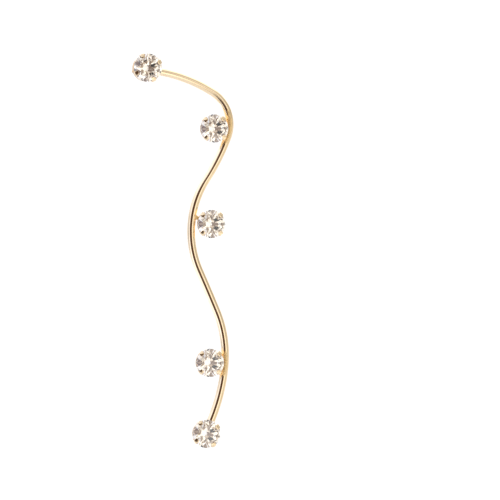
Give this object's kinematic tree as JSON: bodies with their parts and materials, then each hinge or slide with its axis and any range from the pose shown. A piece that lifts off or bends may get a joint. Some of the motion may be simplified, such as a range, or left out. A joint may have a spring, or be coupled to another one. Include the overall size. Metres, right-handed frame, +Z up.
{
  "type": "dangle earring",
  "caption": "Long dangle earring: a wavy gold-tone wire hung from an ear post, with round clear stones in claw settings along it.",
  "frame": {"origin": "the ear post's seat: the middle of the flat back of the top setting, where it lies against the front of the ear lobe", "axes": "+Z up as the earring hangs; -Y towards the viewer, the way the stones face; +Y back through the ear lobe, along the post; +X to the right in a front view, the way the arm leaves the top setting"},
  "size_m": [0.0183, 0.014, 0.0697],
  "materials": {
    "gold_metal": "polished, pale yellow gold-tone plating",
    "clear_stone": "polished facets, colourless"
  },
  "bodies": {
    "root": {"wave_frame": "gold_metal", "stone_1": "clear_stone", "stone_2": "clear_stone", "stone_3": "clear_stone", "stone_4": "clear_stone", "stone_5": "clear_stone"}
  },
  "joints": []
}
